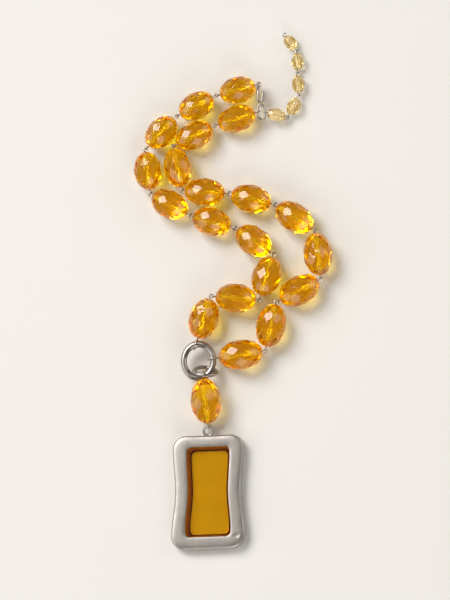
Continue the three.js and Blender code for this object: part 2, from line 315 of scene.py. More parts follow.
@dataclass(frozen=True)
class ClearFinish(Finish):
    """Clear coloured glass or resin that takes its colour from its depth, and may carry a painted
    glow.
    """

    absorbs: tuple[float, float, float] = (2.0, 24.0, 200.0)
    skin: tuple[float, float, float] = (1.0, 0.985, 0.95)
    warm_skin: tuple[float, float, float] = (1.0, 0.94, 0.82)
    polish: float = 0.02
    dullness: float = 0.07
    refraction: float = 1.53
    ripple: float = 0.25
    ripple_scale: float = 190.0
    # Painted glow: emission colour and strength that stand in for light passing through the piece.
    painted_glow: tuple[float, float, float] = (0.0, 0.0, 0.0)
    painted_glow_strength: float = 0.0
    passes_light: float = 0.0

    def _surface(self, graph: Graph) -> Signal:
        """Polished skin with shallow ripples and fine rubbing, and any painted glow.

        Args:
            graph: The material's graph.

        Returns:
            The shader.
        """
        cloud = graph.noise(self.ripple_scale * 0.7, 2.0, 0.55).over(0.35, 0.7)
        scratches = graph.noise(900.0, 3.0, 0.65, stretch=(1.0, 0.35, 1.0), turn=(0.3, 0.2, 0.7))
        rubbed = scratches.over(0.5, 0.8)
        ripple = graph.noise(self.ripple_scale, 1.5, 0.4)
        height = ripple + 0.06 * rubbed
        sockets = {
            "Base Color": graph.blend(cloud, self.skin, self.warm_skin),
            "Roughness": self.polish + self.dullness * rubbed * rubbed,
            "IOR": self.refraction,
            "Transmission Weight": 1.0,
            # The emission here is a painted glow that stands in for light gathered inside the
            # bead.
            "Emission Color": (*self.painted_glow, 1.0),
            "Emission Strength": self.painted_glow_strength,
            "Normal": graph.bump(height, 0.0004, self.ripple),
        }
        clear = graph.node("ShaderNodeBsdfPrincipled", None, sockets)
        if not self.passes_light:
            return clear
        lamp_ray = graph.node("ShaderNodeLightPath", output="Is Shadow Ray")
        tone = (*(self.passes_light,) * 3, 1.0)
        open_way = graph.node("ShaderNodeBsdfTransparent", None, {"Color": tone})
        return graph.node("ShaderNodeMixShader", None, {0: lamp_ray, 1: clear, 2: open_way})

    def _inside(self, graph: Graph) -> Signal:
        """Even absorption, in parts taken off per metre.

        Args:
            graph: The material's graph.

        Returns:
            The volume shader.
        """
        density = 1.02 * max(self.absorbs)
        colour = [1.0 - part / density for part in self.absorbs]
        sockets = {"Color": (*colour, 1.0), "Density": density}
        return graph.node("ShaderNodeVolumeAbsorption", None, sockets)


@dataclass(frozen=True)
class MetalFinish(Finish):
    """Worn metal with polishing lines and a little tarnish."""

    bright: tuple[float, float, float] = (0.62, 0.60, 0.57)
    dull: tuple[float, float, float] = (0.36, 0.33, 0.29)
    tarnish: float = 0.5
    patch_scale: float = 260.0
    smooth: float = 0.24
    rough: float = 0.42
    line_scale: float = 900.0
    line_stretch: tuple[float, float, float] = (1.0, 0.12, 1.0)
    line_depth: float = 0.25
    grain_scale: float = 3200.0
    grain_depth: float = 0.12

    def _surface(self, graph: Graph) -> Signal:
        """Metal whose colour, roughness and height vary together.

        Args:
            graph: The material's graph.

        Returns:
            The shader.
        """
        patch = graph.noise(self.patch_scale, 4.0, 0.6).over(0.38, 0.68)
        broad = graph.noise(self.patch_scale * 0.2, 2.0, 0.5).over(0.3, 0.7)
        lines = graph.noise(self.line_scale, 3.0, 0.6, stretch=self.line_stretch)
        grain = graph.noise(self.grain_scale, 2.0, 0.7)
        worn = patch * (0.55 + 0.45 * broad) * self.tarnish
        tone = graph.blend(worn, self.bright, self.dull)
        streak = graph.blend(0.35 * lines.over(0.45, 0.75), tone, self.dull)
        spread = self.rough - self.smooth
        height = self.line_depth * lines + self.grain_depth * grain
        sockets = {
            "Base Color": streak,
            "Metallic": 1.0,
            "Roughness": self.smooth + spread * patch + 0.08 * lines,
            "Normal": graph.bump(height, 0.00012, 0.6),
        }
        return graph.node("ShaderNodeBsdfPrincipled", None, sockets)


@dataclass(frozen=True)
class BedFinish(Finish):
    """Matt bed under the resin, brightest where it was wiped clean."""

    bright: tuple[float, float, float] = (0.62, 0.60, 0.57)
    shade: tuple[float, float, float] = (0.54, 0.51, 0.47)
    roughness: float = 0.55

    def _surface(self, graph: Graph) -> Signal:
        """Matt surface with soft clouds and a cast grain.

        Args:
            graph: The material's graph.

        Returns:
            The shader.
        """
        cloud = graph.noise(60.0, 3.0, 0.5).over(0.3, 0.7)
        grain = graph.noise(1800.0, 2.0, 0.6)
        sockets = {
            "Base Color": graph.blend(cloud, self.bright, self.shade),
            "Roughness": self.roughness + 0.15 * grain,
            "Normal": graph.bump(grain, 0.00008, 0.4),
        }
        return graph.node("ShaderNodeBsdfPrincipled", None, sockets)


@dataclass(frozen=True)
class FloorFinish(Finish):
    """Plain pale paper."""

    tone: tuple[float, float, float] = (0.80, 0.772, 0.735)

    def _surface(self, graph: Graph) -> Signal:
        """Matt paper with a faint tooth.

        Args:
            graph: The material's graph.

        Returns:
            The shader.
        """
        tooth = graph.noise(900.0, 2.0, 0.5)
        darker = tuple(0.985 * part for part in self.tone)
        sockets = {
            "Base Color": graph.blend(tooth, self.tone, darker),
            "Roughness": 0.95,
            "Specular IOR Level": 0.1,
        }
        return graph.node("ShaderNodeBsdfPrincipled", None, sockets)


# The amber beads carry a faint painted glow (emission) that stands in for light passing through
# the bead.
AMBER = ClearFinish(
    "amber_bead_finish",
    absorbs=(1.6, 27.0, 420.0),
    painted_glow=(1.0, 0.38, 0.0),
    painted_glow_strength=0.058,
)
# The small honey beads carry a faint painted glow too, standing in for light passing through them.
HONEY = ClearFinish(
    "honey_bead_finish",
    absorbs=(3.0, 18.0, 95.0),
    painted_glow=(1.0, 0.58, 0.14),
    painted_glow_strength=0.05,
    skin=(1.0, 0.985, 0.94),
    warm_skin=(1.0, 0.94, 0.82),
)
RESIN = ClearFinish(
    "amber_resin_finish",
    absorbs=(30.0, 92.0, 1200.0),
    passes_light=0.95,
    skin=(1.0, 0.98, 0.94),
    warm_skin=(0.98, 0.93, 0.84),
    polish=0.10,
    dullness=0.10,
    refraction=1.5,
    ripple=0.12,
    ripple_scale=70.0,
)
EYE_STEEL = MetalFinish(
    "eye_wire_finish", bright=(0.60, 0.55, 0.48), dull=(0.22, 0.18, 0.14), smooth=0.14, rough=0.3
)
RING_STEEL = MetalFinish(
    "ring_steel_finish",
    bright=(0.43, 0.395, 0.355),
    dull=(0.20, 0.17, 0.14),
    tarnish=0.4,
    smooth=0.2,
)
PEWTER = MetalFinish(
    "pewter_finish",
    bright=(0.51, 0.475, 0.435),
    dull=(0.29, 0.26, 0.23),
    tarnish=0.5,
    patch_scale=140.0,
    smooth=0.34,
    rough=0.48,
    line_scale=700.0,
    line_stretch=(1.0, 0.08, 1.0),
    line_depth=0.35,
)
# Painted shade: the tray's inner wall is pewter coloured darker and browner, standing in for the
# shade on the wall under the resin.
SHADED_WALL = MetalFinish(
    "pewter_wall_painted_shade",
    bright=(0.52, 0.28, 0.11),
    dull=(0.30, 0.14, 0.05),
    smooth=0.4,
    rough=0.6,
)
# Painted shadow: a near-black strip at the foot of the inner wall, where it meets the bed, stands
# in for the shade in that corner.
CREVICE_SHADOW = MetalFinish(
    "pewter_crevice_painted_shadow",
    bright=(0.10, 0.03, 0.012),
    dull=(0.04, 0.012, 0.006),
    smooth=0.5,
    rough=0.7,
)
BED = BedFinish("tray_bed_finish")
PAPER = FloorFinish("floor_finish")


class Slot(Enum):
    """Material slots of the record, with the finish that each takes."""

    AMBER_BEAD = AMBER
    HONEY_BEAD = HONEY
    EYE_WIRE = EYE_STEEL
    RING_STEEL = RING_STEEL
    PEWTER = PEWTER
    AMBER_RESIN = RESIN

    @property
    def slot(self) -> str:
        """The slot's name in the record."""
        return self.name.lower()


# --------------------------------------------------------------------- shaping


class Shape:
    """A mesh that grows by bmesh operators, in millimetres in its own axes."""

    def __init__(self) -> None:
        """Starts an empty mesh."""
        self.bm = bmesh.new()

    def everything(self) -> list:
        """All the vertices, edges and faces."""
        return [*self.bm.verts, *self.bm.edges, *self.bm.faces]

    def close(self) -> None:
        """Merges doubles and turns every face outwards."""
        bmesh.ops.remove_doubles(self.bm, verts=self.bm.verts, dist=1e-4)
        self.bm.normal_update()
        bmesh.ops.recalc_face_normals(self.bm, faces=self.bm.faces)
        if self.bm.calc_volume(signed=True) < 0.0:
            bmesh.ops.reverse_faces(self.bm, faces=self.bm.faces)

    def soften(self, width: float, steps: int, sharper_than: float) -> None:
        """Bevels the edges that turn by more than an angle.

        Args:
            width: Width of the bevel.
            steps: Rows of faces across it.
            sharper_than: The angle, in degrees.
        """
        self.bm.normal_update()
        least = math.radians(sharper_than)
        edges = [e for e in self.bm.edges if e.is_manifold and e.calc_face_angle() > least]
        bmesh.ops.bevel(
            self.bm,
            geom=edges,
            offset=width,
            affect="EDGES",
            segments=steps,
            profile=0.5,
            clamp_overlap=True,
            material=-1,
        )

    def disc(self, radius: float, sides: int, place: Matrix) -> list:
        """Adds a filled circle, which a bend or a run then draws out.

        Args:
            radius: Its radius.
            sides: Its corners.
            place: Where it is and how it is turned.

        Returns:
            Its vertices, edges and face.
        """
        made = bmesh.ops.create_circle(
            self.bm, cap_ends=True, segments=sides, radius=radius, matrix=place
        )["verts"]
        edges = {e for v in made for e in v.link_edges}
        faces = {f for v in made for f in v.link_faces}
        return [*made, *edges, *faces]

    def bend(self, end: list, centre: Vector, axis: Vector, angle: float, steps: int) -> list:
        """Draws the end of a wire out along an arc.

        Args:
            end: The wire's end face, with its edges and vertices.
            centre: Centre of the arc.
            axis: Axis of the turn.
            angle: Turn, in degrees.
            steps: Rows of faces.

        Returns:
            The new end.
        """
        return bmesh.ops.spin(
            self.bm,
            geom=end,
            cent=centre,
            axis=axis,
            dvec=(0.0, 0.0, 0.0),
            angle=math.radians(angle),
            steps=steps,
            use_merge=False,
            use_duplicate=False,
        )["geom_last"]

    def run(self, end: list, way: Vector) -> list:
        """Draws the end of a wire straight out.

        Args:
            end: The wire's end face, with its edges and vertices.
            way: Direction and length.

        Returns:
            The new end.
        """
        made = bmesh.ops.extrude_face_region(self.bm, geom=end)["geom"]
        corners = [g for g in made if isinstance(g, bmesh.types.BMVert)]
        bmesh.ops.translate(self.bm, verts=corners, vec=way)
        return made

    def swell(self, end: list, factor: float) -> None:
        """Scales the end of a wire about its middle.

        Args:
            end: The wire's end face, with its edges and vertices.
            factor: The scale.
        """
        corners = [g for g in end if isinstance(g, bmesh.types.BMVert)]
        middle = sum((v.co for v in corners), Vector()) / len(corners)
        bmesh.ops.scale(
            self.bm, vec=(factor,) * 3, space=Matrix.Translation(-middle), verts=corners
        )

    def ring(self, radius: float, wire: float, steps: int, sides: int) -> None:
        """Adds a closed ring of round wire round the Z axis.

        Args:
            radius: Radius of its centreline.
            wire: Diameter of the wire.
            steps: Steps round the ring.
            sides: Corners round the wire.
        """
        upright = Matrix.Translation((radius, 0.0, 0.0)) @ UPRIGHT
        made = bmesh.ops.create_circle(
            self.bm, cap_ends=False, segments=sides, radius=wire / 2, matrix=upright
        )["verts"]
        edges = {e for v in made for e in v.link_edges}
        bmesh.ops.spin(
            self.bm,
            geom=[*made, *edges],
            cent=(0.0, 0.0, 0.0),
            axis=UP,
            dvec=(0.0, 0.0, 0.0),
            angle=math.tau,
            steps=steps,
            use_merge=True,
            use_duplicate=False,
        )

    def piece(
        self,
        name: str,
        place: Matrix,
        finishes: Iterable[Finish],
        smooth_under: Union[float, None] = None,
    ) -> bpy.types.Object:
        """Makes the object, with its place in its mesh.

        Args:
            name: The piece's name.
            place: Place in the row frame; its translation is in metres.
            finishes: Materials, in the order of the faces' numbers.
            smooth_under: Angle in degrees up to which faces shade smoothly,
                or None for flat facets.

        Returns:
            The object, at the origin.
        """
        mesh = bpy.data.meshes.new(name)
        bmesh.ops.transform(
            self.bm, matrix=place @ Matrix.Scale(MM, 4), verts=self.bm.verts, space=Matrix()
        )
        self.bm.to_mesh(mesh)
        self.bm.free()
        for finish in finishes:
            mesh.materials.append(finish.material())
        if smooth_under is not None:
            mesh.shade_smooth()
            mesh.set_sharp_from_angle(angle=math.radians(smooth_under))
        made = bpy.data.objects.new(name, mesh)
        bpy.context.scene.collection.objects.link(made)
        return made


def settle(piece: bpy.types.Object, node: str, body: str) -> bpy.types.Object:
    """Puts a finished piece on its body in place of a node.

    Args:
        piece: The finished piece.
        node: The node that it stands for.
        body: The body that it rides on.

    Returns:
        The piece.
    """
    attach(piece, body)
    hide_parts(node)
    log.info("%s on %s: %d faces", piece.name, body, len(piece.data.polygons))
    return piece


def joint_of(child: str) -> dict:
    """The joint that carries a body.

    Args:
        child: The body's name.

    Returns:
        The joint, as the record gives it.
    """
    return next(j for j in frame["joints"] if j["child"] == child)


def middle_of(node: str) -> Vector:
    """The middle of a node's box, in metres."""
    low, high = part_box(node)
    return (low + high) / 2


def facing(origin: Vector, along: Vector) -> Matrix:
    """Axes whose X runs along a direction and whose Y stays level.

    Args:
        origin: Place of the origin, in metres.
        along: Direction of X.

    Returns:
        The matrix of the axes.
    """
    x_axis = along.normalized()
    y_axis = UP.cross(x_axis).normalized()
    z_axis = x_axis.cross(y_axis)
    turn = Matrix((x_axis, y_axis, z_axis)).transposed().to_4x4()
    return Matrix.Translation(origin) @ turn


# ----------------------------------------------------------------------- beads


@dataclass
class FacetedBead:
    """An oval bead cut with staggered rows of flat facets, with a bore.

    The rows are given by how far round the oval each lies from the middle, in
    degrees, on one half; the other half mirrors them.
    """

    length: float
    width: float
    bore: float = 1.3
    facets: int = 10
    rows: tuple[float, ...] = (0.0, 20.0, 41.0, 64.0)
    end_angle: float = 76.0
    depth: float = 0.955
    edge: float = 0.1

    def cut(self) -> Shape:
        """Cuts the bead from a thick tube, plane by plane.

        Returns:
            The bead, along X about its middle.
        """
        shape = Shape()
        start = Matrix.Translation((-self.length / 2, 0.0, 0.0)) @ ALONG_X
        for radius in (self.bore / 2, self.width):
            bmesh.ops.create_circle(
                shape.bm, cap_ends=False, segments=self.facets, radius=radius, matrix=start
            )
        bmesh.ops.bridge_loops(shape.bm, edges=shape.bm.edges)
        shape.run(list(shape.everything()), Vector((self.length, 0.0, 0.0)))
        for index, angle in enumerate(self.rows):
            for side in {1.0, -1.0 if angle else 1.0}:
                for number in range(self.facets):
                    turn = math.tau * (number + index / 2) / self.facets
                    self._cut_facet(shape, math.radians(angle * side), turn)
        shape.close()
        shape.soften(self.edge, 1, 4.0)
        return shape

    def _cut_facet(self, shape: Shape, angle: float, turn: float) -> None:
        """Cuts one flat facet and closes the cut.

        Args:
            shape: The bead so far.
            angle: The facet's place from the middle to the end, in radians.
            turn: Its place round the bead, in radians.
        """
        long_half = self.length / 2 / math.sin(math.radians(self.end_angle))
        half = self.depth * self.width / 2
        round_the_bead = Vector((0.0, math.cos(turn), math.sin(turn)))
        point = round_the_bead * half * math.cos(angle)
        point.x = long_half * math.sin(angle)
        normal = round_the_bead * math.cos(angle) / half
        normal.x = math.sin(angle) / long_half
        made = bmesh.ops.bisect_plane(
            shape.bm,
            geom=shape.everything(),
            dist=1e-6,
            plane_co=point,
            plane_no=normal.normalized(),
            clear_outer=True,
        )["geom_cut"]
        edges = [g for g in made if isinstance(g, bmesh.types.BMEdge)]
        if edges:
            bmesh.ops.edgeloop_fill(shape.bm, edges=edges)


@dataclass
class EyeWire:
    """A wire with an eye bent at each end, from its first eye's centre along X."""

    wire: float
    first: float
    last: float
    span: float
    last_upright: bool = False
    neck_bend: float = 0.5
    gap: float = 22.0
    sides: int = 12

    def bend(self) -> Shape:
        """Bends the wire: first eye, shank, last eye.

        Returns:
            The wire, in millimetres.
        """
        shape = Shape()
        y_axis, z_axis = Vector((0.0, 1.0, 0.0)), UP
        lean = self._neck_angle(self.first)
        open_end = math.radians(lean + self.gap)
        out = Matrix.Rotation(open_end, 4, "Y")
        place = out @ Matrix.Translation((self.first, 0.0, 0.0))
        end = shape.disc(self.wire / 2, self.sides, place)
        end = shape.bend(end, Vector(), y_axis, 360.0 - 2 * lean - self.gap, 30)
        knee = self._knee(self.first)
        end = shape.bend(end, Vector((knee, 0.0, self.neck_bend)), -y_axis, 90.0 - lean, 6)
        far_knee = self._knee(self.last)
        end = shape.run(end, Vector((self.span - knee - far_knee, 0.0, 0.0)))
        lean = self._neck_angle(self.last)
        side = z_axis if self.last_upright else y_axis
        axis = -y_axis if self.last_upright else z_axis
        centre = Vector((self.span - far_knee, 0.0, 0.0)) + self.neck_bend * side
        end = shape.bend(end, centre, axis, 90.0 - lean, 6)
        centre = Vector((self.span, 0.0, 0.0))
        shape.bend(end, centre, -axis, 360.0 - 2 * lean - self.gap, 30)
        shape.close()
        return shape

    def _neck_angle(self, radius: float) -> float:
        """Angle at which an eye leaves the neck, in degrees."""
        return math.degrees(math.asin(self.neck_bend / (radius + self.neck_bend)))

    def _knee(self, radius: float) -> float:
        """Distance from an eye's centre to the straight of the shank."""
        return math.sqrt(radius * radius + 2 * radius * self.neck_bend)


@dataclass
class BeadLink:
    """One bead on its eye wire."""

    bead_node: str
    wire_node: str
    bead: FacetedBead
    wire: float
    first_eye: float
    last_eye: float
    finish: Slot
    last_upright: bool = False
    roll: float = 0.0

    def build(self) -> list[bpy.types.Object]:
        """Builds the bead and its wire where the frame has them.

        Returns:
            The two pieces.
        """
        axis = Vector(joint_of(self.bead_node)["axis"])
        start = Vector(joint_of(self.wire_node)["pos_m"])
        centre = middle_of(self.bead_node)
        if (centre - start).dot(axis) < 0.0:
            axis = -axis
        half = (centre - start).length / MM
        span = 2 * half + self.last_eye - self.first_eye
        turned = facing(centre, axis) @ Matrix.Rotation(self.roll, 4, "X")
        bead = self.bead.cut().piece(f"{self.bead_node}_cut", turned, [self.finish.value])
        wire = EyeWire(self.wire, self.first_eye, self.last_eye, span, self.last_upright)
        bent = wire.bend().piece(
            f"{self.wire_node}_bent", facing(start, axis), [EYE_STEEL], smooth_under=50.0
        )
        return [
            settle(bead, self.bead_node, self.bead_node),
            settle(bent, self.wire_node, self.wire_node),
        ]


def graded(ends: tuple[float, float], share: float) -> float:
    """A size part of the way from its first value to its last."""
    return ends[0] + share * (ends[1] - ends[0])


@dataclass
class Strands:
    """The two strands of graduated beads, from the centre ring to the clasp."""

    count: int = 10
    wire: float = 0.7
    eye: float = 1.0
    centre_eye: float = 2.8
    clasp_eye: float = 1.2
    hook_lengths: tuple[float, float] = (20.5, 18.4)
    extender_lengths: tuple[float, float] = (21.9, 19.3)
    widths: tuple[float, float] = (15.4, 14.0)
    rolls: random.Random = field(default_factory=lambda: random.Random(11))

    def build(self) -> None:
        """Builds every link of both strands."""
        for index in range(self.count):
            self._link("hook_strand", self.hook_lengths, index).build()
            self._link("extender_strand", self.extender_lengths, index).build()

    def _link(self, strand: str, lengths: tuple[float, float], index: int) -> BeadLink:
        """One link.

        Args:
            strand: The strand's name.
            lengths: Length of its first and last beads.
            index: The link's number from the centre ring, from 0.

        Returns:
            The link.
        """
        share = index / (self.count - 1)
        last = index == self.count - 1
        bead = FacetedBead(graded(lengths, share), graded(self.widths, share))
        return BeadLink(
            f"{strand}_bead_{index + 1:02d}",
            f"{strand}_wire_{index + 1:02d}",
            bead,
            self.wire,
            self.centre_eye if index == 0 else self.eye,
            self.clasp_eye if last else self.eye,
            Slot.AMBER_BEAD,
            last_upright=last and strand == "extender_strand",
            roll=self.rolls.uniform(0.0, math.tau),
        )


@dataclass
class Extender:
    """The five small beads past the clasp."""

    count: int = 5
    wire: float = 0.6
    eye: float = 0.9
    first_eye: float = 1.15
    lengths: tuple[float, float] = (9.2, 7.6)
    widths: tuple[float, float] = (6.7, 6.2)
    bore: float = 1.2
    rolls: random.Random = field(default_factory=lambda: random.Random(5))

    def build(self) -> None:
        """Builds every link of the extender."""
        for number in range(1, self.count + 1):
            share = (number - 1) / (self.count - 1)
            bead = FacetedBead(
                graded(self.lengths, share),
                graded(self.widths, share),
                self.bore,
                facets=8,
                rows=(0.0, 22.0, 48.0),
                end_angle=72.0,
                depth=0.95,
                edge=0.07,
            )
            BeadLink(
                f"extender_bead_{number}",
                f"extender_wire_{number}",
                bead,
                self.wire,
                self.first_eye if number == 1 else self.eye,
                self.eye,
                Slot.HONEY_BEAD,
                roll=self.rolls.uniform(0.0, math.tau),
            ).build()


# ----------------------------------------------------------------------- rings


@dataclass
class CentreRing:
    """The oval ring that both strands and the drop ring hang from."""

    width: float = 18.2
    length: float = 20.4
    wire: float = 3.1
    steps: int = 96
    sides: int = 28

    def build(self) -> bpy.types.Object:
        """Spins the ring and draws it out to its oval.

        Returns:
            The piece.
        """
        shape = Shape()
        radius = (self.width - self.wire) / 2
        shape.ring(radius, self.wire, self.steps, self.sides)
        oval = Vector((1.0, (self.length - self.wire) / (self.width - self.wire), 1.0))
        bmesh.ops.scale(shape.bm, vec=oval, verts=shape.bm.verts)
        shape.close()
        place = Matrix.Translation(middle_of("centre_ring"))
        piece = shape.piece("centre_ring_spun", place, [RING_STEEL], smooth_under=60.0)
        return settle(piece, "centre_ring", "centre_ring")


@dataclass
class DropRing:
    """The split ring between the centre ring and the drop bead."""

    diameter: float = 13.4
    wire: float = 2.1
    heading: float = -8.0
    lean: float = 27.0
    split_at: float = 200.0
    split: float = 2.5
    steps: int = 72
    sides: int = 24

    def build(self) -> bpy.types.Object:
        """Bends the wire round until its ends all but meet.

        Returns:
            The piece.
        """
        shape = Shape()
        radius = (self.diameter - self.wire) / 2
        start = Matrix.Rotation(math.radians(self.split_at), 4, "Z")
        place = start @ Matrix.Translation((radius, 0.0, 0.0)) @ UPRIGHT
        end = shape.disc(self.wire / 2, self.sides, place)
        shape.bend(end, Vector(), UP, 360.0 - self.split, self.steps)
        shape.close()
        shape.soften(0.12, 2, 60.0)
        turn = Matrix.Rotation(math.radians(self.heading), 4, "Z")
        turn = turn @ Matrix.Rotation(math.radians(self.lean) + math.pi / 2, 4, "X")
        place = Matrix.Translation(middle_of("drop_ring")) @ turn
        piece = shape.piece("drop_ring_bent", place, [RING_STEEL], smooth_under=50.0)
        return settle(piece, "drop_ring", "drop_ring")


@dataclass
class DropLink:
    """The largest bead, between the drop ring and the pendant."""

    length: float = 22.4
    width: float = 15.8
    wire: float = 0.7
    first_eye: float = 1.7
    last_eye: float = 1.4
    roll: float = 0.2

    def build(self) -> None:
        """Builds the bead and its wire."""
        BeadLink(
            "drop_bead",
            "drop_wire",
            FacetedBead(self.length, self.width),
            self.wire,
            self.first_eye,
            self.last_eye,
            Slot.AMBER_BEAD,
            last_upright=True,
            roll=self.roll,
        ).build()


# ----------------------------------------------------------------------- clasp


@dataclass
class ClaspHook:
    """A flat hook bent from one wire, with an upright eye."""

    wire: float = 1.1
    eye: float = 1.2
    length: float = 8.2
    spread: float = 2.4
    tip: float = 2.4
    lift_radius: float = 2.0
    lift_angle: float = 24.0
    point: tuple[float, float, float] = (-0.9, 0.4, 0.0)
    taper: float = 0.8
    heading: float = -94.0
    sides: int = 16

    def build(self) -> bpy.types.Object:
        """Bends the eye, the shank, the turn and the lifted tip.

        Returns:
            The piece.
        """
        shape = Shape()
        shape.ring(self.eye, self.wire, 40, self.sides)
        shank_from = self.eye - 0.1 * self.wire
        bmesh.ops.rotate(
            shape.bm, verts=shape.bm.verts, cent=ORIGIN, matrix=UPRIGHT.to_3x3()
        )
        turn = self.spread / 2
        bend_at = self.length - self.wire / 2 - turn
        place = Matrix.Translation((shank_from, 0.0, 0.0)) @ ALONG_X
        end = shape.disc(self.wire / 2, self.sides, place)
        end = shape.run(end, Vector((bend_at - shank_from, 0.0, 0.0)))
        end = shape.bend(end, Vector((bend_at, turn, 0.0)), UP, 180.0, 20)
        end = shape.run(end, Vector((-self.tip, 0.0, 0.0)))
        lift = Vector((bend_at - self.tip, self.spread + self.lift_radius, 0.0))
        end = shape.bend(end, lift, -UP, self.lift_angle, 5)
        end = shape.run(end, Vector(self.point))
        shape.swell(end, self.taper)
        shape.close()
        shape.soften(0.2, 3, 60.0)
        start = Vector(joint_of("clasp_hook")["pos_m"])
        along = Matrix.Rotation(math.radians(self.heading), 3, "Z") @ Vector((1.0, 0.0, 0.0))
        place = facing(start, along)
        piece = shape.piece("clasp_hook_bent", place, [RING_STEEL], smooth_under=50.0)
        return settle(piece, "clasp_hook", "clasp_hook")


@dataclass
class EndRing:
    """The long flat ring that the hook catches and the extender hangs from."""

    length: float = 8.6
    width: float = 4.8
    wire: float = 1.1
    heading: float = -86.0
    sides: int = 16

    def build(self) -> bpy.types.Object:
        """Bends the wire round two half turns.

        Returns:
            The piece.
        """
        shape = Shape()
        half = (self.width - self.wire) / 2
        straight = self.length - self.width
        place = Matrix.Translation((-straight / 2, -half, 0.0)) @ ALONG_X
        end = shape.disc(self.wire / 2, self.sides, place)
        end = shape.run(end, Vector((straight, 0.0, 0.0)))
        end = shape.bend(end, Vector((straight / 2, 0.0, 0.0)), UP, 180.0, 20)
        end = shape.run(end, Vector((-straight, 0.0, 0.0)))
        shape.bend(end, Vector((-straight / 2, 0.0, 0.0)), UP, 177.0, 20)
        shape.close()
        turn = Matrix.Rotation(math.radians(self.heading), 4, "Z")
        place = Matrix.Translation(middle_of("end_ring")) @ turn
        piece = shape.piece("end_ring_bent", place, [RING_STEEL], smooth_under=50.0)
        return settle(piece, "end_ring", "end_ring")


# --------------------------------------------------------------------- pendant


@dataclass(frozen=True)
class WaistedOutline:
    """An upright rectangle with a waist, rounded corners and a slight lean."""

    length: float
    top: float
    waist: float
    bottom: float
    corner: float
    dip: float = 0.0
    shift: tuple[float, float] = (0.0, 0.0)
    across: int = 4
    along: int = 8

    def toward(self, other: "WaistedOutline", share: float) -> "WaistedOutline":
        """An outline part of the way to another.

        Args:
            other: The other outline.
            share: 0 for this outline, 1 for the other.

        Returns:
            The outline between them.
        """
        names = ("length", "top", "waist", "bottom", "corner", "dip")
        sizes = {n: graded((getattr(self, n), getattr(other, n)), share) for n in names}
        return replace(self, **sizes)

    def shrunk(self, by: float) -> "WaistedOutline":
        """The outline moved inwards all round.

        Args:
            by: The distance.

        Returns:
            The smaller outline.
        """
        return replace(
            self,
            length=self.length - 2 * by,
            top=self.top - 2 * by,
            waist=self.waist - 2 * by,
            bottom=self.bottom - 2 * by,
            corner=max(2.2, self.corner - by),
        )

    def half_width(self, height: float) -> float:
        """Half the width at a height.

        Args:
            height: From -1 at the bottom to 1 at the top.

        Returns:
            Half the width.
        """
        end = self.top if height > 0.0 else self.bottom
        reach = min(1.0, abs(height) / 0.78)
        share = reach * reach * (3.0 - 2.0 * reach)
        return (self.waist + share * (end - self.waist)) / 2

    def draw(self, shape: Shape, height: float) -> list:
        """Adds the outline as a loop of edges.

        Args:
            shape: The mesh that it goes into.
            height: Its height.

        Returns:
            The loop's edges.
        """
        before = set(shape.bm.verts)
        bmesh.ops.create_grid(shape.bm, x_segments=self.across, y_segments=self.along, size=1.0)
        made = [v for v in shape.bm.verts if v not in before]
        for corner in made:
            across, along = corner.co.x, corner.co.y
            dip = self.dip * (1.0 - across * across) * max(0.0, along) ** 4
            place = (across * self.half_width(along), along * self.length / 2 - dip)
            corner.co = (place[0] + self.shift[0], place[1] + self.shift[1], height)
        sharp = [v for v in made if len(v.link_edges) == 2]
        bmesh.ops.bevel(
            shape.bm,
            geom=sharp,
            offset=self.corner,
            affect="VERTICES",
            segments=6,
            profile=0.5,
            clamp_overlap=True,
            material=-1,
        )
        made = [v for v in shape.bm.verts if v not in before]
        faces = {f for v in made for f in v.link_faces}
        inner = [v for v in made if not v.is_boundary]
        rim = [e for e in {e for v in made for e in v.link_edges} if e.is_boundary]
        bmesh.ops.delete(shape.bm, geom=list(faces), context="FACES_ONLY")
        bmesh.ops.delete(shape.bm, geom=inner, context="VERTS")
        kept = before.symmetric_difference(shape.bm.verts)
        loose = {e for v in kept for e in v.link_edges if e not in rim}
        bmesh.ops.delete(shape.bm, geom=list(loose), context="EDGES")
        return rim


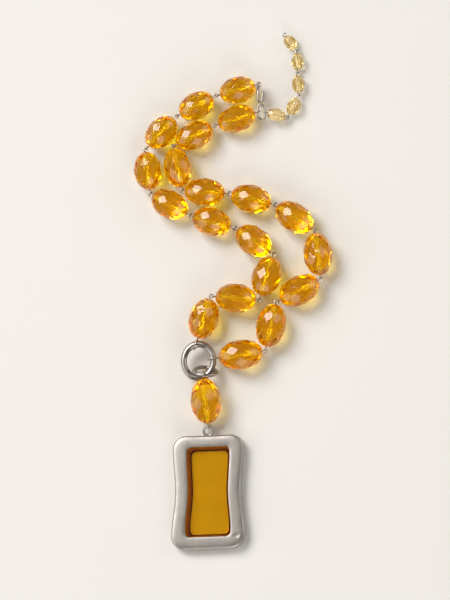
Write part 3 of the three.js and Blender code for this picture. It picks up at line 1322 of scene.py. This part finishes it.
@dataclass
class Pendant:
    """The cast tray, its loop and the resin inset."""

    outline: WaistedOutline = WaistedOutline(58.5, 36.4, 33.4, 38.0, 7.5, 0.7)
    window: WaistedOutline = WaistedOutline(45.6, 21.8, 20.2, 23.1, 2.4)
    rise: float = 0.03
    thickness: float = 6.4
    floor: float = 1.4
    recess: float = 0.5
    draft: float = 1.05
    bed_shift: tuple[float, float] = (0.7, -0.4)
    # Width of the painted shadow strip at the foot of the inner wall.
    shadow_strip: float = 0.65
    seat: float = 0.03
    loop_diameter: float = 6.4
    loop_wire: float = 1.5
    loop_tilt: float = 22.0
    cartouche: tuple[float, float, float] = (3.8, 2.8, 0.3)
    cartouche_from_bottom: float = 6.5
    cartouche_from_side: float = 4.5

    def build(self) -> None:
        """Builds the frame with its loop, and the inset."""
        lean = Matrix.Identity(4)
        lean[1][0] = self.rise
        place = Matrix.Translation(self._origin()) @ lean
        body = "pendant"
        settle(self._frame(place), "pendant_frame", body)
        settle(self._inset(place), "resin_inset", body)

    def _origin(self) -> Vector:
        """The middle of the tray's back, in metres.

        Returns:
            The point.
        """
        low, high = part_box("pendant_frame")
        resin_low, resin_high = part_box("resin_inset")
        return Vector(((low.x + high.x) / 2, (resin_low.y + resin_high.y) / 2, low.z))

    def _levels(self) -> list[tuple[WaistedOutline, float]]:
        """The loops of the tray from its back, round the front, to its bed.

        Returns:
            Each loop's outline and height.
        """
        top = self.thickness
        outer, window = self.outline, self.window
        bed = replace(window, shift=self.bed_shift)
        return [
            (outer.shrunk(4.5), 0.0),
            (outer.shrunk(1.5), 0.01),
            (outer.shrunk(0.9), 0.04),
            (outer.shrunk(0.3), 0.4),
            (outer.shrunk(0.0), 1.1),
            (outer.shrunk(0.0), top - 1.9),
            (outer.shrunk(0.1), top - 1.1),
            (outer.shrunk(0.5), top - 0.45),
            (outer.shrunk(1.15), top - 0.14),
            (outer.toward(window, 0.45), top),
            (outer.toward(window, 0.78), top),
            (window.shrunk(-0.4), top - 0.07),
            (window.shrunk(-0.1), top - 0.25),
            (window, top - 0.75),
            (bed.shrunk(0.85 * self.draft), self.floor + 0.75),
            (bed.shrunk(self.draft), self.floor + 0.12),
            (bed.shrunk(self.draft + 0.15), self.floor + 0.03),
            (bed.shrunk(self.draft + self.shadow_strip), self.floor + 0.02),
            (bed.shrunk(self.draft + self.shadow_strip + 0.3), self.floor + 0.01),
            (bed.shrunk(self.draft + self.shadow_strip + 3.0), self.floor),
        ]

    def _frame(self, place: Matrix) -> bpy.types.Object:
        """Lofts the tray, smooths it and sinks the blank cartouche.

        Args:
            place: The tray's place.

        Returns:
            The piece.
        """
        shape = Shape()
        levels = self._levels()
        loops = [outline.draw(shape, height) for outline, height in levels]
        pewter, shaded_wall, shadow_strip, bed = range(4)
        # The inner wall takes painted shade, and the strip at its foot takes a painted shadow
        # line.
        inside = [shaded_wall, shaded_wall, shadow_strip, shadow_strip, bed, bed]
        finishes = [pewter] * (len(levels) - 1 - len(inside)) + inside
        for finish, one, two in zip(finishes, loops, loops[1:]):
            for face in bmesh.ops.bridge_loops(shape.bm, edges=one + two)["faces"]:
                face.material_index = finish
        bmesh.ops.edgeloop_fill(shape.bm, edges=loops[0], mat_nr=pewter)
        bmesh.ops.edgeloop_fill(shape.bm, edges=loops[-1], mat_nr=bed)
        shape.close()
        self._add_loop(shape)
        metals = [PEWTER, SHADED_WALL, CREVICE_SHADOW, BED]
        piece = shape.piece("pendant_frame_cast", place, metals, smooth_under=180.0)
        smooth = piece.modifiers.new("smooth", "SUBSURF")
        smooth.levels = smooth.render_levels = 2
        self._sink_cartouche(piece, place)
        return piece

    def _add_loop(self, shape: Shape) -> None:
        """Adds the cast loop on the top edge.

        Args:
            shape: The tray.
        """
        before = set(shape.bm.verts)
        radius = (self.loop_diameter - self.loop_wire) / 2
        shape.ring(radius, self.loop_wire, 32, 12)
        made = [v for v in shape.bm.verts if v not in before]
        low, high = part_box("pendant_frame")
        reach = radius * math.cos(math.radians(self.loop_tilt)) + self.loop_wire / 2
        top = (high.y - self._origin().y) / MM
        eye = Vector(joint_of("pendant")["pos_m"])
        height = (eye.z - low.z) / MM - radius * math.sin(math.radians(self.loop_tilt))
        tilt = Matrix.Rotation(math.radians(self.loop_tilt), 4, "X")
        centre = Matrix.Translation((0.0, top - reach, height))
        bmesh.ops.transform(shape.bm, matrix=centre @ tilt, verts=made, space=Matrix())

    def _sink_cartouche(self, piece: bpy.types.Object, place: Matrix) -> None:
        """Sinks the blank oval at the lower right of the front.

        Args:
            piece: The tray.
            place: The tray's place.
        """
        width, height, depth = self.cartouche
        cutter = Shape()
        oval = cutter.disc(0.5, 40, Matrix())
        bmesh.ops.scale(cutter.bm, vec=(width, height, 1.0), verts=cutter.bm.verts)
        cutter.run(oval, Vector((0.0, 0.0, 3.0)))
        cutter.close()
        cutter.soften(0.12, 3, 60.0)
        corner = Vector(
            (
                self.outline.bottom / 2 - self.cartouche_from_side,
                -self.outline.length / 2 + self.cartouche_from_bottom,
                self.thickness - 0.15 - depth,
            )
        )
        tool = cutter.piece("cartouche_cutter", place @ Matrix.Translation(corner * MM), [PEWTER])
        cut = piece.modifiers.new("cartouche", "BOOLEAN")
        cut.operation, cut.solver, cut.object = "DIFFERENCE", "EXACT", tool
        graph = bpy.context.evaluated_depsgraph_get()
        done = bpy.data.meshes.new_from_object(piece.evaluated_get(graph))
        piece.modifiers.clear()
        piece.data = done
        done.name = piece.name
        done.shade_smooth()
        done.set_sharp_from_angle(angle=math.radians(40.0))
        bpy.data.objects.remove(tool)

    def _inset(self, place: Matrix) -> bpy.types.Object:
        """Fills the tray with resin, with a low meniscus at its rim.

        Args:
            place: The tray's place.

        Returns:
            The piece.
        """
        shape = Shape()
        top = self.thickness - self.recess
        seat = self.window.shrunk(-self.seat)
        bed = replace(seat, shift=self.bed_shift)
        levels = [
            (bed.shrunk(self.draft + 3.0), self.floor - self.seat),
            (bed.shrunk(self.draft + 0.15), self.floor - self.seat + 0.01),
            (bed.shrunk(self.draft), self.floor + 0.12),
            (bed.shrunk(0.85 * self.draft), self.floor + 0.75),
            (seat.shrunk(0.02), top - 0.25),
            (seat, top + 0.02),
            (seat.shrunk(0.3), top - 0.03),
            (seat.shrunk(0.9), top - 0.1),
            (seat.shrunk(2.0), top - 0.12),
            (seat.shrunk(4.5), top - 0.13),
        ]
        loops = [outline.draw(shape, height) for outline, height in levels]
        for one, two in zip(loops, loops[1:]):
            bmesh.ops.bridge_loops(shape.bm, edges=one + two)
        bmesh.ops.edgeloop_fill(shape.bm, edges=loops[0])
        bmesh.ops.edgeloop_fill(shape.bm, edges=loops[-1])
        shape.close()
        piece = shape.piece("resin_inset_cast", place, [RESIN], smooth_under=60.0)
        smooth = piece.modifiers.new("smooth", "SUBSURF")
        smooth.levels = smooth.render_levels = 2
        return piece


# ---------------------------------------------------------------------- studio


@dataclass(frozen=True)
class Softbox:
    """One square area light that faces the object."""

    name: str
    azimuth: float
    elevation: float
    distance: float
    size: float
    power: float
    tint: tuple[float, float, float] = (1.0, 1.0, 1.0)

    def hang(self, target: Vector) -> bpy.types.Object:
        """Hangs the light.

        Args:
            target: The point that it faces.

        Returns:
            The light.
        """
        data = bpy.data.lights.new(self.name, "AREA")
        data.shape, data.size = "SQUARE", self.size
        data.energy, data.color = self.power, self.tint
        turn, rise = math.radians(self.azimuth), math.radians(self.elevation)
        flat = math.cos(rise)
        way = Vector((flat * math.cos(turn), flat * math.sin(turn), math.sin(rise)))
        light = bpy.data.objects.new(self.name, data)
        light.location = target + way * self.distance
        light.rotation_euler = (-way).to_track_quat("-Z", "Y").to_euler()
        bpy.context.scene.collection.objects.link(light)
        return light


@dataclass
class Studio:
    """Pale floor, soft light from the upper left and a long lens above."""

    lens: float = 200.0
    distance: float = 1.7065
    tilt_right: float = 6.0
    tilt_down: float = 8.0
    roll: float = 0.08
    aim: tuple[float, float] = (-0.0046, -0.0051)
    floor_size: float = 6.0
    ambient: float = 0.14
    shaded_sky: tuple[float, float, float] = (0.55, 0.55, 0.56)
    lit_sky: tuple[float, float, float] = (1.0, 0.995, 0.98)
    boxes: tuple[Softbox, ...] = (
        Softbox("key_softbox", 138.0, 50.0, 3.4, 1.8, 102.0, (1.0, 0.99, 0.975)),
        Softbox("left_softbox", 200.0, 30.0, 2.4, 1.6, 16.0, (1.0, 0.99, 0.98)),
        Softbox("right_softbox", 20.0, 32.0, 2.4, 1.6, 13.0, (1.0, 0.99, 0.98)),
        Softbox("near_softbox", 285.0, 30.0, 2.4, 1.6, 20.0, (1.0, 0.99, 0.98)),
    )

    def build(self) -> None:
        """Sets up the floor, the lights and the camera."""
        bpy.context.scene.view_settings.view_transform = "Standard"
        self._lay_floor()
        self._light_sky()
        low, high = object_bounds()
        for box in self.boxes:
            box.hang((low + high) / 2)
        self._stand_camera()

    def _lay_floor(self) -> None:
        """Lays the paper that the necklace rests on."""
        shape = Shape()
        bmesh.ops.create_grid(shape.bm, x_segments=1, y_segments=1, size=self.floor_size / 2 / MM)
        place = Matrix.Translation((0.0, 0.0, -FLOOR_GAP))
        shape.piece("studio_floor", place, [PAPER])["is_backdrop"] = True

    def _light_sky(self) -> None:
        """Lights the room evenly, a little brighter at the upper left."""
        world = bpy.data.worlds.new("studio_room")
        bpy.context.scene.world = world
        graph = Graph(world)
        where = graph.node("ShaderNodeTexCoord", output="Generated")
        toward_light = Vector((-0.62, 0.5, 0.6)).normalized()
        share = graph.node(
            "ShaderNodeVectorMath",
            {"operation": "DOT_PRODUCT"},
            {0: where, 1: toward_light},
            output="Value",
        )
        colour = graph.blend(share.over(-0.5, 0.95), self.shaded_sky, self.lit_sky)
        sky = graph.node("ShaderNodeBackground", None, {"Color": colour, "Strength": self.ambient})
        graph.node("ShaderNodeOutputWorld", None, {"Surface": sky})

    def _stand_camera(self) -> None:
        """Stands the camera above, leaning a little down and to the right."""
        data = bpy.data.cameras.new("studio_camera")
        data.lens, data.clip_end = self.lens, 20.0
        target = Vector((*self.aim, 0.0))
        right, down = math.radians(self.tilt_right), math.radians(self.tilt_down)
        way = Vector((math.tan(right), -math.tan(down), 1.0))
        camera = bpy.data.objects.new("studio_camera", data)
        camera.location = target + way.normalized() * self.distance
        look = -way.normalized()
        side = look.cross(Vector((0.0, 1.0, 0.0))).normalized()
        turn = Matrix((side, side.cross(look), -look)).transposed()
        spun = turn @ Matrix.Rotation(math.radians(self.roll), 3, "Z")
        camera.rotation_euler = spun.to_euler()
        bpy.context.scene.collection.objects.link(camera)
        bpy.context.scene.camera = camera


# ------------------------------------------------------------------------ main


def main() -> None:
    """Builds every sub-assembly around the frame."""
    logging.basicConfig(level=logging.INFO, format="%(name)s: %(message)s")
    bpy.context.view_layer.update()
    CentreRing().build()
    DropRing().build()
    DropLink().build()
    Pendant().build()
    Strands().build()
    ClaspHook().build()
    EndRing().build()
    Extender().build()
    Studio().build()


if __name__ == "__main__":
    main()
